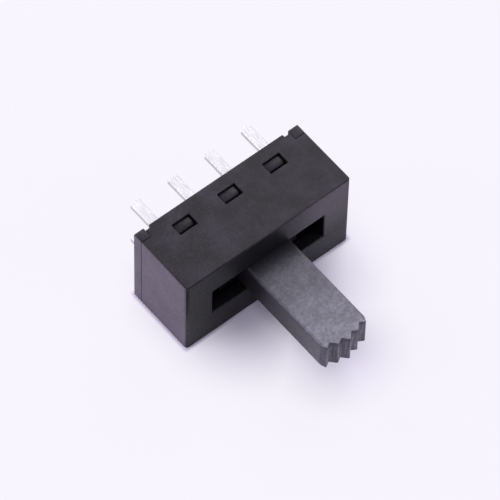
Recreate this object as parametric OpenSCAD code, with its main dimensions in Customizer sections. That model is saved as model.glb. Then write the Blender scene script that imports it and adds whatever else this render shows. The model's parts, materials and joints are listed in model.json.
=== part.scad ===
// Miniature three-position slide switch with two poles, lying on its side.
// X is the direction of travel, -Y is the knob side, +Y is the terminal side, Z is up.
// The origin is the middle of the face that it lies on.

/* [Body] */
// Length of the body along the travel
body_l = 11.1; // [11:0.1:14]
// Depth of the body from its front face to its terminal face
body_d = 4.45; // [4.4:0.05:6]
// Height of the body across the two rows of terminals
body_h = 5.8; // [5.7:0.05:7]
// Radius of the two front corners that stand beside the slot face
corner_r = 0.25; // [0.1:0.05:0.6]
// Radius of the other outside edges
edge_r = 0.1; // [0.05:0.01:0.25]

/* [Cover walls] */
// Thickness of the wall with the slot
front_wall = 0.7; // [0.4:0.05:0.8]
// Thickness of the two long side walls with the latch windows
side_wall = 0.65; // [0.5:0.01:0.7]
// Thickness of the two end walls
end_wall = 0.68; // [0.4:0.01:0.72]
// Height of the two guide rails inside the front wall
rail_h = 0.12; // [0.05:0.01:0.2]
// Width of each guide rail
rail_w = 0.3; // [0.15:0.05:0.5]
// Distance from the edge of the slot to the guide rail beside it
rail_offset = 0.2; // [0.05:0.05:0.4]
// Chamfer round the mouth of the slot
slot_chamfer = 0.06; // [0.02:0.01:0.15]
// Chamfer inside the rear mouth of the cover, which leads the base in
mouth_chamfer = 0.12; // [0.05:0.01:0.2]

/* [Latches] */
// Number of latch windows in each long side wall
latch_count = 3; // [2:1:4]
// Distance between the middles of neighbouring windows
latch_pitch = 3.05; // [2:0.05:3.2]
// Length of a window along the travel
window_l = 1.17; // [0.8:0.01:1.6]
// Width of a window
window_w = 0.78; // [0.6:0.01:1]
// Distance from the terminal face to the middle of a window
window_inset = 1.18; // [1:0.01:1.3]
// Gap at each end of a hook in its window
hook_side_gap = 0.07; // [0.05:0.01:0.25]
// How far the top of a hook lies below the outside face
hook_recess = 0.16; // [0.05:0.01:0.3]
// Length of the steep ramp that leads a hook into its window
hook_ramp = 0.2; // [0.1:0.01:0.3]
// Length of the gentle slope between that ramp and the flat top
hook_ease_l = 0.2; // [0.05:0.01:0.3]
// How far the gentle slope falls
hook_ease_drop = 0.06; // [0.02:0.01:0.1]

/* [Base] */
// Thickness of the base between its inner floor and the terminal face
floor_t = 1.1; // [0.8:0.05:1.2]
// How far the two rims that back the blades reach past the hooks
rim_lip = 0.07; // [0.04:0.01:0.12]
// Thickness of the end blocks that close the ends of the cover
end_block_t = 0.68; // [0.4:0.01:1]
// Length of the notch between each end block and the long walls of the cover
notch_l = 0.36; // [0.1:0.01:0.6]
// Depth of that notch
notch_d = 0.2; // [0.1:0.01:0.4]
// Width of the ribs that part neighbouring blades
barrier_w = 0.26; // [0.1:0.02:0.4]
// Height of those ribs above the inner floor
barrier_h = 0.42; // [0.2:0.02:0.45]

/* [Terminals] */
// Distance between neighbouring terminals in a row
terminal_pitch = 2.5; // [2.4:0.01:2.54]
// Distance from the inside of a long wall to the middle of the row beside it
row_inset = 0.65; // [0.6:0.01:0.7]
// Thickness of the strip that the terminals are stamped from
strip_t = 0.3; // [0.2:0.05:0.3]
// Width of a tail
tail_w = 0.64; // [0.4:0.02:0.8]
// Length of a tail beyond the terminal face
tail_l = 2.2; // [1.5:0.1:4]
// Chamfer on the corners of a tail
tail_chamfer = 0.12; // [0.05:0.01:0.15]
// Gap between neighbouring contact blades
blade_gap = 0.6; // [0.5:0.05:0.8]
// Gap between an outer blade and the end wall
blade_end_gap = 0.17; // [0.1:0.01:0.25]
// Gap between the tips of the blades and the carriage
blade_tip_gap = 0.22; // [0.15:0.01:0.3]
// Chamfer on the corners of a blade
blade_chamfer = 0.18; // [0.05:0.01:0.25]

/* [Knob] */
// Travel from the middle position to either side
travel = 2.15; // [1.8:0.05:2.25]
// Width of the knob along the travel
knob_w = 3; // [2.6:0.05:3.2]
// Thickness of the knob
knob_t = 1.95; // [1.7:0.05:2.1]
// Height of the middle ridge of the knob's end above the slot face
knob_reach = 6.68; // [3:0.01:9]
// Number of finger ridges on the end of the knob
ridge_count = 5; // [3:1:7]
// Distance from the flank of the knob to the crest of the outer ridge
ridge_inset = 0.2; // [0.15:0.01:0.3]
// Depth of the grooves between the ridges, below the outer of the two crests
ridge_depth = 0.17; // [0.08:0.01:0.2]
// Width of the flat on top of a ridge
ridge_flat = 0.06; // [0.04:0.02:0.12]
// How much further the middle ridge stands than the outer ones
ridge_rise = 0.34; // [0.1:0.02:0.5]
// Radius along the four long edges of the knob
knob_edge_r = 0.18; // [0.04:0.02:0.3]

/* [Carriage] */
// Thickness of the carriage plate
plate_t = 0.9; // [0.8:0.05:1]
// Outer diameter of the boss round the spring bore
boss_d = 1.84; // [1.6:0.02:2]
// Depth of the spring bore, measured from the face of the boss
bore_depth = 3.65; // [2.5:0.05:5]
// Chamfer on the ends of the carriage plate
plate_chamfer = 0.2; // [0.05:0.05:0.4]

/* [Contacts] */
// Thickness of the contact strip
contact_t = 0.12; // [0.08:0.01:0.14]
// Width of one contact finger
finger_w = 1.2; // [0.8:0.05:1.4]
// Half of the distance between the two legs at the closed end
leg_spread = 0.3; // [0.26:0.01:0.32]
// How far along a leg its bend lies, as a share of the leg
leg_bend = 0.15; // [0.05:0.01:0.3]
// How far along a leg it wipes the blade, as a share of the leg
leg_wipe = 0.65; // [0.5:0.01:0.85]
// Gap between the tips of the legs and the rims
leg_tip_gap = 0.22; // [0.15:0.01:0.3]
// How far the tip of a leg is bent away from the blade
tip_flare = 0.1; // [0.04:0.01:0.12]

/* [Detent] */
// Diameter of the detent ball
ball_d = 1.0; // [0.8:0.02:1.04]
// Height of the detent bar above the inner floor
bar_h = 0.275; // [0.24:0.005:0.35]
// Width of the detent bar
bar_w = 1.2; // [0.8:0.1:1.4]
// Depth of the three detent notches
notch_depth = 0.2; // [0.1:0.01:0.22]
// Radius of the bottom of a detent notch
notch_r = 0.6; // [0.52:0.02:0.8]
// Wire diameter of the detent spring
wire_d = 0.13; // [0.08:0.01:0.15]
// Number of open turns in the detent spring
spring_turns = 6; // [4:1:9]

/* [Clearances] */
// Gap round a piece that is pressed into another
press_gap = 0.01; // [0.005:0.005:0.02]
// Gap round the base inside the cover
fit_gap = 0.02; // [0.01:0.01:0.05]
// Open line between the end blocks and the end walls
seam_gap = 0.03; // [0.02:0.01:0.1]
// Gap between the knob and the long edges of the slot
slot_gap = 0.05; // [0.03:0.01:0.1]
// Gap left between the knob and the ends of the slot at full travel
slot_end_gap = 0.125; // [0.05:0.005:0.2]
// Gap left between the carriage and the end walls at full travel
stop_gap = 0.08; // [0.04:0.01:0.12]
// Gap between the carriage and the walls that guide it
guide_gap = 0.04; // [0.02:0.01:0.06]
// Gap between a contact finger and the blade that it wipes
wipe_gap = 0.02; // [0.01:0.01:0.03]
// Gap between the face of the boss and the detent bar
boss_gap = 0.1; // [0.05:0.01:0.15]
// Radial gap between the ball and its bore
bore_gap = 0.03; // [0.01:0.01:0.05]
// Gap between the ball and the crown of the detent bar
ball_gap = 0.015; // [0.01:0.005:0.03]
// Radial gap between the detent spring and its bore
spring_gap = 0.05; // [0.03:0.01:0.08]

/* [Hidden] */

$fn = 48;
eps = 0.5;            // how far a cutter runs past the face that it opens
terminals_per_row = 4;
positions = [-travel, 0, travel];

// Levels along Y, from the knob to the terminals
front_y = -body_d / 2;
back_y = body_d / 2;
inner_front_y = front_y + front_wall;
floor_y = back_y - floor_t;
window_y = back_y - window_inset;
hook_lead_y = window_y - window_w / 2 + fit_gap;
hook_catch_y = window_y + window_w / 2 - fit_gap;
rim_y = hook_lead_y - rim_lip;
block_y = back_y - end_block_t;
rail_y = inner_front_y + rail_h;
plate_front_y = rail_y + guide_gap;
plate_back_y = plate_front_y + plate_t;
bar_y = floor_y - bar_h;
boss_y = bar_y - boss_gap;
ball_y = bar_y - ball_gap - ball_d / 2;
blade_tip_y = plate_back_y + blade_tip_gap;

// Levels along Z and places along X
mid_z = body_h / 2;
cavity_l = body_l - 2 * end_wall;
cavity_h = body_h - 2 * side_wall;
base_l = cavity_l - 2 * fit_gap;
base_h = cavity_h - 2 * fit_gap;
row_z = cavity_h / 2 - row_inset;
slot_h = knob_t + 2 * slot_gap;
slot_l = knob_w + 2 * (travel + slot_end_gap);
rail_z = slot_h / 2 + rail_offset + rail_w / 2;
hook_l = window_l - 2 * hook_side_gap;
plate_l = cavity_l - 2 * (travel + stop_gap);
plate_h = cavity_h - 2 * guide_gap;
blade_half = (terminal_pitch - blade_gap) / 2;
rim_z = row_z + strip_t / 2 + press_gap;
rim_t = base_h / 2 - rim_z;
bore_d = ball_d + 2 * bore_gap;

// Contact legs: the centre line runs from the closed end to the wiping point and out to the flared tip
wipe_z = strip_t / 2 + wipe_gap + contact_t / 2;
contact_l = terminal_pitch + finger_w;
contact_split = terminal_pitch - finger_w;
socket_depth = leg_spread + contact_t;
tip_y = rim_y - leg_tip_gap;
leg_l = tip_y - plate_back_y;
bend_y = plate_back_y + leg_l * leg_bend;
wipe_y = plate_back_y + leg_l * leg_wipe;

// Detent spring: it stands on the bottom of the bore and ends on the ball
bore_y = boss_y - bore_depth;
spring_r = bore_d / 2 - spring_gap - wire_d / 2;
spring_start_y = bore_y + wire_d / 2 + press_gap;
spring_end_y = ball_y - sqrt(pow(ball_d / 2 + wire_d / 2 + press_gap, 2) - pow(spring_r, 2));

function row_x(i) = (i - (terminals_per_row - 1) / 2) * terminal_pitch;
function latch_x(i) = (i - (latch_count - 1) / 2) * latch_pitch;

// ---- shared shapes ----

// A rectangle with round corners, drawn about its middle
module round_rect(w, h, r) {
  square([w - 2 * r, h], center = true);
  square([w, h - 2 * r], center = true);
  for (x = [-1, 1], y = [-1, 1])
    translate([x * (w / 2 - r), y * (h / 2 - r)]) circle(r);
}

// A centred bar of length l along X whose section is drawn with Y across and Z up
module along_x(l) {
  rotate([90, 0, 90]) translate([0, 0, -l / 2]) linear_extrude(l) children();
}

// A bar from y0 to y1 whose section is drawn with X across and Z up
module along_y(y0, y1) {
  translate([0, y1, 0]) rotate([90, 0, 0]) linear_extrude(y1 - y0) children();
}

// A centred bar of height h along Z whose section is drawn in the XY plane
module along_z(h) {
  translate([0, 0, -h / 2]) linear_extrude(h) children();
}

// The outside form of the closed switch: three round-cornered prisms that meet in one block
module outer_block() {
  intersection() {
    along_z(body_h) {
      round_rect(body_l, body_d, corner_r);
      translate([0, corner_r / 2]) round_rect(body_l, body_d - corner_r, edge_r);
    }
    along_x(body_l) round_rect(body_d, body_h, edge_r);
    along_y(front_y, back_y) round_rect(body_l, body_h, edge_r);
  }
}

// The space at both ends that the end blocks of the base fill, from the plane y0 to the back
module end_zones(inner_l, y0) {
  for (m = [0, 1]) mirror([m, 0])
    translate([inner_l / 2, y0, -body_h / 2 - eps])
      cube([body_l, back_y + eps - y0, body_h + 2 * eps]);
}

// A strip of even thickness t along a list of points, with round bends
module bent_strip(points, t) {
  for (i = [0 : len(points) - 2]) {
    run = points[i + 1] - points[i];
    translate(points[i]) rotate(atan2(run[1], run[0])) translate([0, -t / 2]) square([norm(run), t]);
    translate(points[i + 1]) circle(t / 2);
  }
}

// ---- cover ----

// Section of the slot's chamfered mouth, drawn with the depth along the first axis
module mouth_profile(w) {
  polygon([
    [front_y - eps, -w / 2 - slot_chamfer], [front_y, -w / 2 - slot_chamfer],
    [front_y + slot_chamfer, -w / 2], [front_y + slot_chamfer, w / 2],
    [front_y, w / 2 + slot_chamfer], [front_y - eps, w / 2 + slot_chamfer]
  ]);
}

// The slot, right through the front wall, with a mouth of two crossed wedge-ended prisms
module slot_cutter() {
  translate([0, front_y, 0]) cube([slot_l, 4 * front_wall, slot_h], center = true);
  intersection() {
    along_x(slot_l + 2 * slot_chamfer) mouth_profile(slot_h);
    along_z(slot_h + 2 * slot_chamfer) mirror([1, -1]) mouth_profile(slot_l);
  }
}

// The inside of the cover, with a chamfered rear mouth along the two long walls
module cavity_cutter() {
  translate([0, (inner_front_y + back_y + eps) / 2, 0])
    cube([cavity_l, back_y + eps - inner_front_y, cavity_h], center = true);
  along_x(cavity_l + eps)
    polygon([
      [back_y - mouth_chamfer, -cavity_h / 2], [back_y, -cavity_h / 2 - mouth_chamfer],
      [back_y + eps, -cavity_h / 2 - mouth_chamfer], [back_y + eps, cavity_h / 2 + mouth_chamfer],
      [back_y, cavity_h / 2 + mouth_chamfer], [back_y - mouth_chamfer, cavity_h / 2]
    ]);
}

// Latch windows, right through both long walls
module window_cutters() {
  for (i = [0 : latch_count - 1])
    translate([latch_x(i), window_y, 0]) cube([window_l, window_w, body_h + 2 * eps], center = true);
}

// Notches in the rear edge of the long walls, beside the end blocks
module notch_cutters() {
  for (x = [-1, 1])
    translate([x * (cavity_l + eps - notch_l) / 2, back_y + (eps - notch_d) / 2, 0])
      cube([notch_l + eps, notch_d + eps, body_h + 2 * eps], center = true);
}

// Rails inside the front wall that the carriage slides on
module guide_rails() {
  for (z = [-1, 1])
    translate([0, inner_front_y + rail_h / 2 - eps / 4, z * rail_z])
      cube([cavity_l + eps, rail_h + eps / 2, rail_w], center = true);
}

module housing() {
  color("#2b2b2e") translate([0, 0, mid_z])
    difference() {
      union() {
        difference() {
          outer_block();
          cavity_cutter();
          end_zones(cavity_l, block_y);
        }
        intersection() {
          guide_rails();
          outer_block();
        }
      }
      slot_cutter();
      window_cutters();
      notch_cutters();
    }
}

// ---- base ----

// One latch hook: a steep ramp and a gentle slope at the front, a flat top and a square catch face
// at the rear
module hook() {
  foot_z = rim_z + rim_t / 2;
  top_z = body_h / 2 - hook_recess;
  along_x(hook_l)
    polygon([
      [hook_lead_y, foot_z], [hook_lead_y, base_h / 2],
      [hook_lead_y + hook_ramp, top_z - hook_ease_drop],
      [hook_lead_y + hook_ramp + hook_ease_l, top_z],
      [hook_catch_y, top_z], [hook_catch_y, foot_z]
    ]);
}

// The blocks that close the ends of the cover, and the web that ties them to the plate
module end_blocks() {
  block_t = end_block_t - seam_gap;
  intersection() {
    outer_block();
    end_zones(cavity_l + 2 * fit_gap, back_y - block_t);
  }
  translate([0, back_y - block_t / 2, 0]) cube([body_l - 2 * corner_r, block_t, base_h], center = true);
}

// The two rims: each backs one row of blades and carries that side's hooks
module rims() {
  for (z = [-1, 1])
    translate([0, (rim_y + floor_y + eps / 2) / 2, z * (rim_z + rim_t / 2)])
      cube([base_l, floor_y + eps / 2 - rim_y, rim_t], center = true);
}

// Low ribs that part neighbouring blades in each row
module barriers() {
  for (z = [-1, 1], i = [0 : terminals_per_row - 2])
    translate([(row_x(i) + row_x(i + 1)) / 2, floor_y - barrier_h / 2 + eps / 4, z * row_z])
      cube([barrier_w, barrier_h + eps / 2, 2 * (rim_z - row_z) + eps / 4], center = true);
}

// The bar between the rows that the ball rides on, with one round notch for each position
module detent_bar() {
  difference() {
    translate([0, bar_y + (bar_h + eps / 2) / 2, 0])
      cube([2 * travel + 2 * notch_r + bar_w, bar_h + eps / 2, bar_w], center = true);
    for (x = positions)
      translate([x, bar_y + notch_depth - notch_r, 0]) cylinder(h = bar_w + eps, r = notch_r, center = true);
  }
}

// Slots that the tails are pressed through
module tail_slots() {
  for (z = [-row_z, row_z], i = [0 : terminals_per_row - 1])
    translate([row_x(i), (floor_y + back_y) / 2, z])
      cube([tail_w + 2 * press_gap, floor_t + 2 * eps, strip_t + 2 * press_gap], center = true);
}

module base() {
  color("#232326") translate([0, 0, mid_z])
    difference() {
      union() {
        translate([0, (floor_y + back_y) / 2, 0]) cube([base_l, floor_t, base_h], center = true);
        end_blocks();
        rims();
        barriers();
        detent_bar();
        for (i = [0 : latch_count - 1], z = [0, 1])
          translate([latch_x(i), 0, 0]) mirror([0, 0, z]) hook();
      }
      tail_slots();
    }
}

// ---- terminals ----

// One stamped terminal: a wide contact blade inside, a narrow tail outside. The outer blades reach out
// to the end walls
module terminal(i, side) {
  tail_end = back_y + tail_l;
  outer_half = cavity_l / 2 - blade_end_gap - abs(row_x(i));
  left = i == 0 ? outer_half : blade_half;
  right = i == terminals_per_row - 1 ? outer_half : blade_half;
  color("#dcdcda") translate([row_x(i), 0, mid_z + side * row_z])
    along_z(strip_t)
      polygon([
        [-left + blade_chamfer, blade_tip_y], [right - blade_chamfer, blade_tip_y],
        [right, blade_tip_y + blade_chamfer], [right, floor_y - press_gap],
        [tail_w / 2, floor_y - press_gap], [tail_w / 2, tail_end - tail_chamfer],
        [tail_w / 2 - tail_chamfer, tail_end], [-tail_w / 2 + tail_chamfer, tail_end],
        [-tail_w / 2, tail_end - tail_chamfer], [-tail_w / 2, floor_y - press_gap],
        [-left, floor_y - press_gap], [-left, blade_tip_y + blade_chamfer]
      ]);
}

// ---- slider ----

// Outline of the knob seen along Z: straight flanks and an end of sharp ridges. The crests step back
// evenly from the middle one, and between them each ridge falls outwards at 45 degrees
module knob_outline() {
  half = (ridge_count - 1) / 2;
  pitch = (knob_w - 2 * ridge_inset) / (ridge_count - 1);
  step = ridge_rise / half;
  top_y = front_y - knob_reach;
  root_y = plate_front_y + plate_t / 2;
  corner_y = top_y + ridge_rise + step + ridge_depth;
  polygon(concat(
    [[-knob_w / 2, root_y], [-knob_w / 2, corner_y]],
    [for (i = [0 : ridge_count - 1])
      let (n = i - half, near = min(abs(n), abs(n + 1)), far = max(abs(n), abs(n + 1)))
      each [
        [n * pitch - ridge_flat / 2, top_y + step * abs(n)],
        [n * pitch + ridge_flat / 2, top_y + step * abs(n)],
        if (i < ridge_count - 1)
          [
            sign(n + 0.5) * (near * pitch + (far - near) * step + ridge_depth),
            top_y + step * far + ridge_depth
          ]
      ]],
    [[knob_w / 2, corner_y], [knob_w / 2, root_y]]
  ));
}

module knob_bar() {
  intersection() {
    along_z(knob_t) knob_outline();
    along_y(front_y - knob_reach - eps, plate_back_y) round_rect(knob_w, knob_t, knob_edge_r);
  }
}

// The plate that slides inside the cover, with its four ends chamfered
module carriage_plate() {
  along_y(plate_front_y, plate_back_y)
    polygon([
      [-plate_l / 2 + plate_chamfer, -plate_h / 2], [plate_l / 2 - plate_chamfer, -plate_h / 2],
      [plate_l / 2, -plate_h / 2 + plate_chamfer], [plate_l / 2, plate_h / 2 - plate_chamfer],
      [plate_l / 2 - plate_chamfer, plate_h / 2], [-plate_l / 2 + plate_chamfer, plate_h / 2],
      [-plate_l / 2, plate_h / 2 - plate_chamfer], [-plate_l / 2, -plate_h / 2 + plate_chamfer]
    ]);
}

// A socket in the plate that holds the closed end of one contact
module contact_sockets() {
  for (z = [-row_z, row_z])
    translate([0, plate_back_y + (eps - socket_depth) / 2, z])
      cube([
        contact_l + 2 * press_gap, socket_depth + eps,
        2 * leg_spread + contact_t + 2 * press_gap
      ], center = true);
}

module slider() {
  color("#58565f") translate([0, 0, mid_z])
    difference() {
      union() {
        carriage_plate();
        knob_bar();
        along_y(plate_back_y - plate_t / 2, boss_y) circle(d = boss_d);
      }
      contact_sockets();
      along_y(bore_y, boss_y + eps) circle(d = bore_d);
    }
}

// ---- contacts ----

// One U-shaped contact: two legs that pinch a row of blades, split into a finger for each blade
module contact(side) {
  closed_y = plate_back_y - socket_depth + press_gap + contact_t / 2;
  corner = leg_spread - contact_t;
  leg = [
    [closed_y, 0], [closed_y, leg_spread - corner], [closed_y + corner, leg_spread],
    [bend_y, leg_spread], [wipe_y, wipe_z], [tip_y, wipe_z + tip_flare]
  ];
  color("#c9a86a") translate([0, 0, mid_z + side * row_z])
    difference() {
      along_x(contact_l)
        for (m = [0, 1]) mirror([0, m]) bent_strip(leg, contact_t);
      translate([0, (plate_back_y + tip_y + eps) / 2, 0])
        cube([contact_split, tip_y + eps - plate_back_y, 4 * leg_spread], center = true);
    }
}

// ---- detent ----

// One ring of the spring's wire, square to the helix closely enough for so fine a pitch
function wire_ring(a, y, sides) = [for (k = [0 : sides - 1])
  let (r = spring_r + wire_d / 2 * cos(360 * k / sides))
  [r * cos(a), y + wire_d / 2 * sin(360 * k / sides), r * sin(a)]];

// Compression spring with one closed turn at each end and open turns between them
module detent_spring() {
  sides = 6;
  steps = 18;
  turns = spring_turns + 2;
  closed = wire_d + press_gap;
  open_pitch = (spring_end_y - spring_start_y - 2 * closed) / spring_turns;
  count = turns * steps;
  heights = [for (i = [0 : count])
    let (t = i / steps)
    t < 1 ? spring_start_y + t * closed
      : t < turns - 1 ? spring_start_y + closed + (t - 1) * open_pitch
      : spring_end_y - (turns - t) * closed];
  points = [for (i = [0 : count], p = wire_ring(360 * i / steps, heights[i], sides)) p];
  sleeve = [for (i = [0 : count - 1], k = [0 : sides - 1])
    let (a = i * sides + k, b = i * sides + (k + 1) % sides)
    [a, a + sides, b + sides, b]];
  color("#a9abae") translate([0, 0, mid_z])
    polyhedron(points, concat(
      [[for (k = [0 : sides - 1]) k]], sleeve, [[for (k = [sides - 1 : -1 : 0]) count * sides + k]]
    ));
}

module detent_ball() {
  color("#c6c8ca") translate([0, ball_y, mid_z]) sphere(d = ball_d);
}

housing();
base();
slider();
terminal(0, 1);  // upper_terminal_1
terminal(1, 1);  // upper_terminal_2
terminal(2, 1);  // upper_terminal_3
terminal(3, 1);  // upper_terminal_4
terminal(0, -1);  // lower_terminal_1
terminal(1, -1);  // lower_terminal_2
terminal(2, -1);  // lower_terminal_3
terminal(3, -1);  // lower_terminal_4
contact(1);  // upper_contact
contact(-1);  // lower_contact
detent_spring();
detent_ball();
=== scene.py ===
"""A miniature slide switch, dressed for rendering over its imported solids.

The frame gives every solid its place. The mouldings get softened edges and a moulded grain, the
terminals and the spring are swept afresh with the marks of stamping and coiling, and a pale stage
stands round the part. Lengths are in metres; the frame's origin is the middle of the face that the
switch lies on.
"""

import json
import math

import bmesh
import bpy
import numpy as np
from mathutils import Matrix, Vector
from mathutils.bvhtree import BVHTree

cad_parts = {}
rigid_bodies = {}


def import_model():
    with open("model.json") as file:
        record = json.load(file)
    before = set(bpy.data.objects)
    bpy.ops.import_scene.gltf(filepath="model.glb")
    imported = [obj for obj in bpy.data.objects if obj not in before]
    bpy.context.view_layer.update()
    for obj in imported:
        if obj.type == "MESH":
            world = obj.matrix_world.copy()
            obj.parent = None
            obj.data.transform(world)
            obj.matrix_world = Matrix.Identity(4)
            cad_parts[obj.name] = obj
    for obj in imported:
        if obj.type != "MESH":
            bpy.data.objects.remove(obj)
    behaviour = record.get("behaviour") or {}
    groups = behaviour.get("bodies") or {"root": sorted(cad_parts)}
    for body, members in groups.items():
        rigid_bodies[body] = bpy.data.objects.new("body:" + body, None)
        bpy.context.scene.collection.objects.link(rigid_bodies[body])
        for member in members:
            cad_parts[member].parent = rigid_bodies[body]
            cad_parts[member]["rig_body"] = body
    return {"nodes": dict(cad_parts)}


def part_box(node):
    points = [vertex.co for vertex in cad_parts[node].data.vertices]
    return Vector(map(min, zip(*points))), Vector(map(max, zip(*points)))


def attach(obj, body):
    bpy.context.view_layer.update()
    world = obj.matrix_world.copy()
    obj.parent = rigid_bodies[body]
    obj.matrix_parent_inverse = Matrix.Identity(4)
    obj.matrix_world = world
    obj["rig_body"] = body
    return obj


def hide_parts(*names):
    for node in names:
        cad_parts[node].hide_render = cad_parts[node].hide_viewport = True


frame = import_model()

bl_info = {
    "name": "Slide switch",
    "version": (1, 0, 0),
    "blender": (4, 5, 0),
    "location": "3D View > Sidebar > Slide switch",
    "description": "Dresses the solids of a miniature slide switch and sets a pale studio round it",
    "category": "Object",
}

MM = 0.001
# Faces that meet at more than the first angle get a radius between them; at less than the second they
# become one
SHARP = math.radians(32)
FLAT = math.radians(2)
# Points nearer than the weld are one point, and pieces nearer than a hair meet in a seam
WELD = 0.0001 * MM
HAIR = 0.05 * MM
# Mean width below which a face is one facet of a rounding
FACET = 0.045 * MM
# Share of the radius that is left to an edge in a seam
SEAM_SHARE = 0.5
# Cosine below which one edge runs across another, and the share of a narrow flat that a radius may take
ACROSS = 0.7
CREST_FILL = 0.45
# Steps in which a radius turns, and how much the big faces count in the normals beside it, of 100
RADIUS_STEPS = 3
BIG_FACES = 100
# Points on each quarter circle of a stamped strip
ARC_POINTS = 5
# Points of the spring along each turn and round its wire
TURN_POINTS = 40
WIRE_POINTS = 12
# Turns before the spring's pitch opens and over which it does, and a closed turn's pitch in wires
CLOSED_TURNS = 0.75
OPENING_TURNS = 0.5
CLOSED_PITCH = 1.02
# Least share of the wire's radius, at its very tips
WIRE_TIP = 0.02
# Most values of a noise texture lie between these two
NOISE_LOW = 0.35
NOISE_HIGH = 0.65
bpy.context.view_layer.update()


def linear(code):
    """An sRGB hex colour such as "#2b2b2e" as linear red, green and blue."""
    srgb = np.array([int(code[i : i + 2], 16) for i in (1, 3, 5)]) / 255
    return tuple(
        float(c)
        for c in np.where(srgb <= 0.04045, srgb / 12.92, ((srgb + 0.055) / 1.055) ** 2.4)
    )


# ---- what a user would change ----


class SwitchSizes(bpy.types.PropertyGroup):
    """Sizes of the details that are added to the solids."""

    mould_edge: bpy.props.FloatProperty(
        name="Moulded edge",
        description="Radius that the mould leaves on the sharp edges of the plastic pieces",
        default=0.035 * MM,
        min=0.005 * MM,
        max=0.06 * MM,
        precision=6,
        unit="LENGTH",
        subtype="DISTANCE",
    )
    strip_edge: bpy.props.FloatProperty(
        name="Strip edge",
        description="Radius along the sheared edges of the contact strips",
        default=0.015 * MM,
        min=0.002 * MM,
        max=0.03 * MM,
        precision=6,
        unit="LENGTH",
        subtype="DISTANCE",
    )
    die_roll: bpy.props.FloatProperty(
        name="Die roll",
        description="Radius on the side of a terminal where the punch entered",
        default=0.06 * MM,
        min=0.01 * MM,
        max=0.12 * MM,
        precision=6,
        unit="LENGTH",
        subtype="DISTANCE",
    )
    burr_edge: bpy.props.FloatProperty(
        name="Burr edge",
        description="Radius on the side of a terminal where the punch came out",
        default=0.02 * MM,
        min=0.005 * MM,
        max=0.12 * MM,
        precision=6,
        unit="LENGTH",
        subtype="DISTANCE",
    )
    knob_half: bpy.props.FloatProperty(
        name="Half of the knob's width",
        description="Distance from the middle of the knob to its flanks, where the wear is palest",
        default=1.5 * MM,
        min=1.0 * MM,
        max=2.0 * MM,
        precision=6,
        unit="LENGTH",
        subtype="DISTANCE",
    )
    wire: bpy.props.FloatProperty(
        name="Spring wire",
        description="Diameter of the detent spring's wire",
        default=0.13 * MM,
        min=0.05 * MM,
        max=0.2 * MM,
        precision=6,
        unit="LENGTH",
        subtype="DISTANCE",
    )
    open_turns: bpy.props.IntProperty(
        name="Open turns",
        description="Turns of the detent spring between its two closed end turns",
        default=6,
        min=3,
        max=12,
    )


class SwitchColours(bpy.types.PropertyGroup):
    """Colours of the finishes."""

    cover: bpy.props.FloatVectorProperty(
        name="Cover",
        description="Black of the moulded cover",
        default=linear("#0e0d0f"),
        min=0,
        max=1,
        subtype="COLOR",
    )
    base: bpy.props.FloatVectorProperty(
        name="Base",
        description="Black of the moulded base",
        default=linear("#0e0d0f"),
        min=0,
        max=1,
        subtype="COLOR",
    )
    # Painted sheen: a violet tone that stands for the light reflected on the body's ends and on the right of
    # its front
    painted_sheen: bpy.props.FloatVectorProperty(
        name="Painted sheen",
        description="Thin violet bloom on the body's ends and on the right of its front",
        default=linear("#605768"),
        min=0,
        max=1,
        subtype="COLOR",
    )
    knob: bpy.props.FloatVectorProperty(
        name="Knob",
        description="Dark grey of the slider's moulding",
        default=linear("#1d1b20"),
        min=0,
        max=1,
        subtype="COLOR",
    )
    # Pale wear on the knob, and the painted light that grows along it towards its tip
    pale_wear_and_light: bpy.props.FloatVectorProperty(
        name="Rubbed knob",
        description="Paler grey where the knob's broad faces are rubbed",
        default=linear("#9c99ab"),
        min=0,
        max=1,
        subtype="COLOR",
    )
    tin: bpy.props.FloatVectorProperty(
        name="Tin",
        description="Plating of the terminals",
        default=linear("#cccbce"),
        min=0,
        max=1,
        subtype="COLOR",
    )
    bronze: bpy.props.FloatVectorProperty(
        name="Bronze",
        description="Spring bronze of the two sliding contacts",
        default=linear("#c89a5e"),
        min=0,
        max=1,
        subtype="COLOR",
    )
    steel: bpy.props.FloatVectorProperty(
        name="Steel",
        description="Steel of the detent spring and ball",
        default=linear("#b9bbbd"),
        min=0,
        max=1,
        subtype="COLOR",
    )
    paper: bpy.props.FloatVectorProperty(
        name="Paper",
        description="Pale sheet that the switch lies on",
        default=linear("#e2daf4"),
        min=0,
        max=1,
        subtype="COLOR",
    )
    backdrop: bpy.props.FloatVectorProperty(
        name="Backdrop",
        description="What the sheet shows where nothing shades it",
        default=linear("#f9f6fe"),
        min=0,
        max=1,
        subtype="COLOR",
    )
    room: bpy.props.FloatVectorProperty(
        name="Room",
        description="Cool tone of the pale room round the sheet",
        default=linear("#eee8ff"),
        min=0,
        max=1,
        subtype="COLOR",
    )


# ---- nodes ----


def add(tree, kind, inputs=None, **settings):
    """Adds one node with its settings, and fills its inputs with values or with links from sockets."""
    node = tree.nodes.new(kind)
    for name, value in settings.items():
        setattr(node, name, value)
    for name, value in (inputs or {}).items():
        if isinstance(value, bpy.types.NodeSocket):
            tree.links.new(value, node.inputs[name])
        else:
            node.inputs[name].default_value = value
    return node


def new_material(name):
    """An empty material, its tree, and the socket that gives the Object coordinates in millimetres."""
    made = bpy.data.materials.new(name)
    made.use_nodes = True
    tree = made.node_tree
    tree.nodes.clear()
    place = add(tree, "ShaderNodeTexCoord")
    in_mm = add(
        tree,
        "ShaderNodeMapping",
        {"Vector": place.outputs["Object"], "Scale": (1 / MM,) * 3},
    )
    return made, tree, in_mm.outputs[0]


def close_material(made, tree, shader):
    """Puts the finished shader on the material's output."""
    add(tree, "ShaderNodeOutputMaterial", {"Surface": shader.outputs[0]})
    return made


def rgba(colour, gain=1.0):
    """A property's colour as four numbers, made lighter or darker by a gain."""
    return (*[min(1.0, c * gain) for c in colour], 1.0)


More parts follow.
